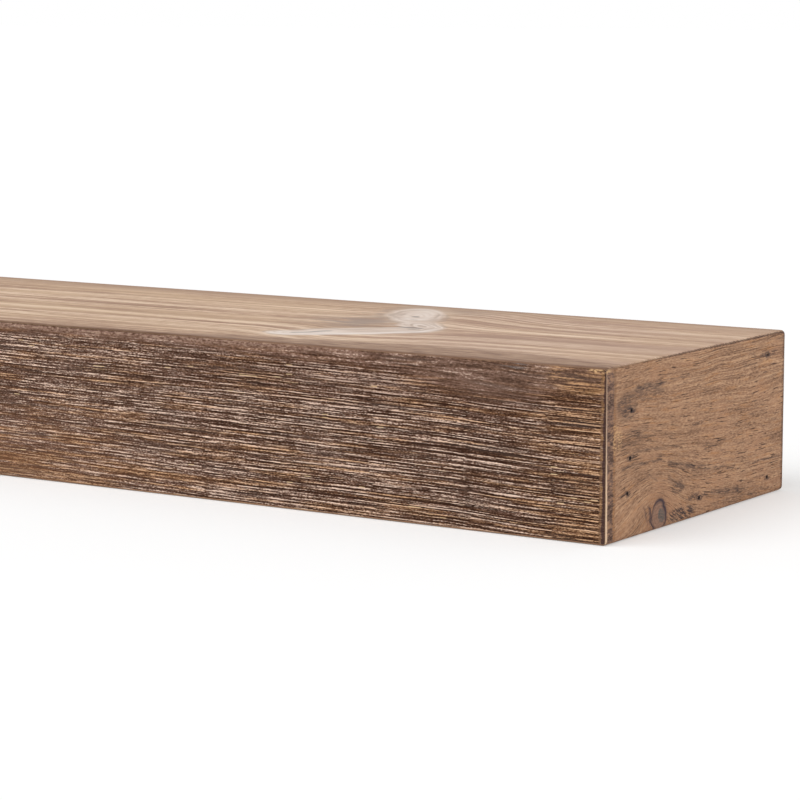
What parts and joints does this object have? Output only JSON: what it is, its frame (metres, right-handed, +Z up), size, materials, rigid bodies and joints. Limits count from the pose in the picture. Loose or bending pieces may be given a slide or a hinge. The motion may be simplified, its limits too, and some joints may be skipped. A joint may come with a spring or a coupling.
{
  "type": "wood mantel shelf",
  "caption": "Hollow wood mantel shelf: a long box beam of mitred boards with a wire-brushed front face, open at the back so that it slips over a batten on the wall.",
  "frame": {"origin": "middle of the underside", "axes": "+X along the shelf to its right end as seen from the room, -Y to the room, +Y to the wall, +Z up"},
  "size_m": [1.524, 0.2286, 0.1016],
  "materials": {
    "top_wood": "sanded and stained light brown, matt",
    "front_wood": "wire-brushed along the grain, dark stain in the valleys, pale ridges",
    "bottom_wood": "sanded and stained, matt",
    "end_wood": "sanded and stained mid brown, matt"
  },
  "bodies": {
    "root": {"top_board": "top_wood", "front_board": "front_wood", "bottom_board": "bottom_wood", "right_end_board": "end_wood", "left_end_board": "end_wood"}
  },
  "joints": []
}
